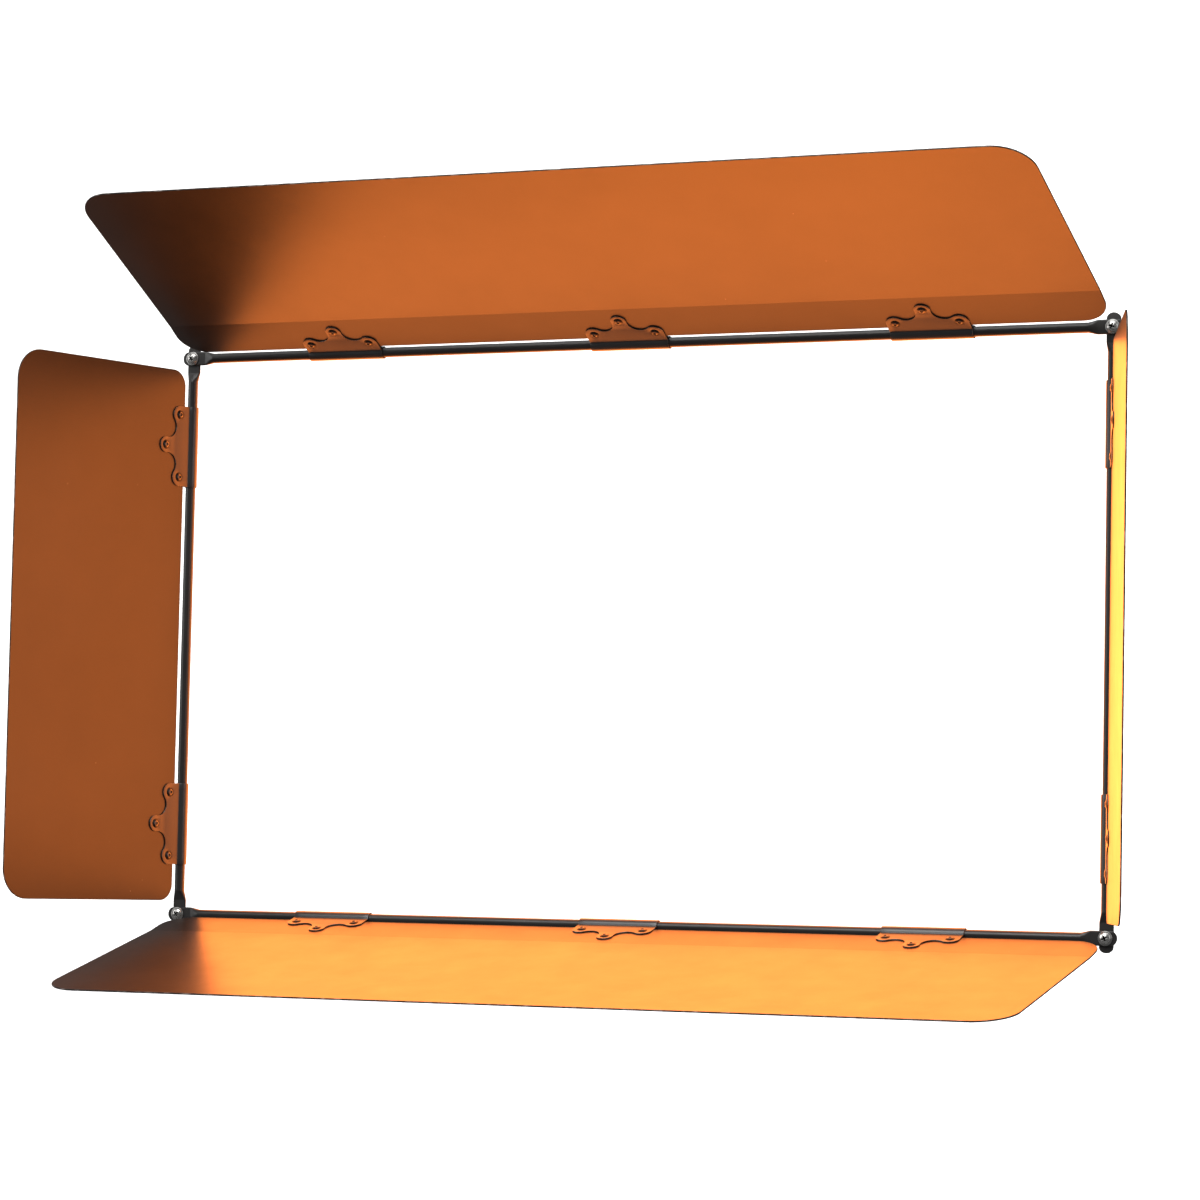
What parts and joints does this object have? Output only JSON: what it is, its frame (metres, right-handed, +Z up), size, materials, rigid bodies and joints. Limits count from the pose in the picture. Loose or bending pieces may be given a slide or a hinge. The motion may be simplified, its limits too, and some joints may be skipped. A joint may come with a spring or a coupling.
{
  "type": "barn door attachment",
  "caption": "Four-leaf barn door on a flattened-end tube frame, for the front of a large rectangular soft light; each leaf is held by riveted friction clips.",
  "frame": {"origin": "centre of the four fixing screws, on the plane of the light's front where the backs of the side tubes' pressed ends rest", "axes": "+X to the right along the cross tubes, +Z up along the side tubes, +Y back into the light, so the light leaves towards -Y"},
  "size_m": [0.7363, 0.1978, 0.5038],
  "materials": {
    "leaf_coat": "satin black powder coat on sheet steel",
    "clip_coat": "satin black powder coat on pressed clips",
    "tube_coat": "satin black powder coat on steel tube",
    "rivet_metal": "dark plated blind rivets",
    "screw_zinc": "bright zinc plated screws",
    "washer_zinc": "bright zinc plated washers"
  },
  "bodies": {
    "frame": {"frame_tube_top": "tube_coat", "frame_tube_bottom": "tube_coat", "frame_tube_left": "tube_coat", "frame_tube_right": "tube_coat", "corner_washer_top_left": "washer_zinc", "corner_screw_top_left": "screw_zinc", "corner_washer_top_right": "washer_zinc", "corner_screw_top_right": "screw_zinc", "corner_washer_bottom_left": "washer_zinc", "corner_screw_bottom_left": "screw_zinc", "corner_washer_bottom_right": "washer_zinc", "corner_screw_bottom_right": "screw_zinc"},
    "top_leaf": {"leaf_top": "leaf_coat", "hinge_clip_top_left": "clip_coat", "clip_rivets_top_left": "rivet_metal", "hinge_clip_top_centre": "clip_coat", "clip_rivets_top_centre": "rivet_metal", "hinge_clip_top_right": "clip_coat", "clip_rivets_top_right": "rivet_metal"},
    "bottom_leaf": {"leaf_bottom": "leaf_coat", "hinge_clip_bottom_left": "clip_coat", "clip_rivets_bottom_left": "rivet_metal", "hinge_clip_bottom_centre": "clip_coat", "clip_rivets_bottom_centre": "rivet_metal", "hinge_clip_bottom_right": "clip_coat", "clip_rivets_bottom_right": "rivet_metal"},
    "left_leaf": {"leaf_left": "leaf_coat", "hinge_clip_left_upper": "clip_coat", "clip_rivets_left_upper": "rivet_metal", "hinge_clip_left_lower": "clip_coat", "clip_rivets_left_lower": "rivet_metal"},
    "right_leaf": {"leaf_right": "leaf_coat", "hinge_clip_right_upper": "clip_coat", "clip_rivets_right_upper": "rivet_metal", "hinge_clip_right_lower": "clip_coat", "clip_rivets_right_lower": "rivet_metal"}
  },
  "joints": [
    {"name": "top_leaf_hinge", "type": "hinge", "parent": "frame", "child": "top_leaf", "pos_m": [0, -0.0017, 0.1865], "axis": [-1, 0, 0], "range_deg": [-100.5, 60]},
    {"name": "bottom_leaf_hinge", "type": "hinge", "parent": "frame", "child": "bottom_leaf", "pos_m": [0, -0.0017, -0.1865], "axis": [1, 0, 0], "range_deg": [-88.5, 72]},
    {"name": "left_leaf_hinge", "type": "hinge", "parent": "frame", "child": "left_leaf", "pos_m": [-0.32, -0.0017, 0], "axis": [0, 0, -1], "range_deg": [-106, 74]},
    {"name": "right_leaf_hinge", "type": "hinge", "parent": "frame", "child": "right_leaf", "pos_m": [0.32, -0.0017, 0], "axis": [0, 0, 1], "range_deg": [-109, 71]}
  ]
}
